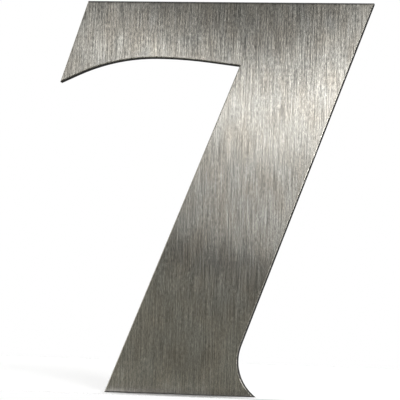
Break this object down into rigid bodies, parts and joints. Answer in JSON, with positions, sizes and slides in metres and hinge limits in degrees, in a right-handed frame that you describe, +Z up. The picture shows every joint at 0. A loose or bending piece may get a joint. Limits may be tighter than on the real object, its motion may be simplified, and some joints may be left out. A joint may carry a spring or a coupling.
{
  "type": "house number",
  "caption": "Flat italic numeral 7 cut from vertically brushed steel plate, with concealed threaded studs behind it for fixing to a wall.",
  "frame": {"origin": "on the back of the plate, at the centre of the figure's height and width", "axes": "+X to the right as the figure is read, +Z up, +Y out of the back towards the wall; the brushed front faces -Y"},
  "size_m": [0.12, 0.03, 0.15],
  "materials": {
    "brushed_plate": "vertical brushed grain on the front, plain cut walls and mill back",
    "stud_rod": "plain rolled thread"
  },
  "bodies": {
    "root": {"numeral_plate": "brushed_plate", "stud_crossbar": "stud_rod", "stud_shoulder": "stud_rod", "stud_foot": "stud_rod"}
  },
  "joints": []
}
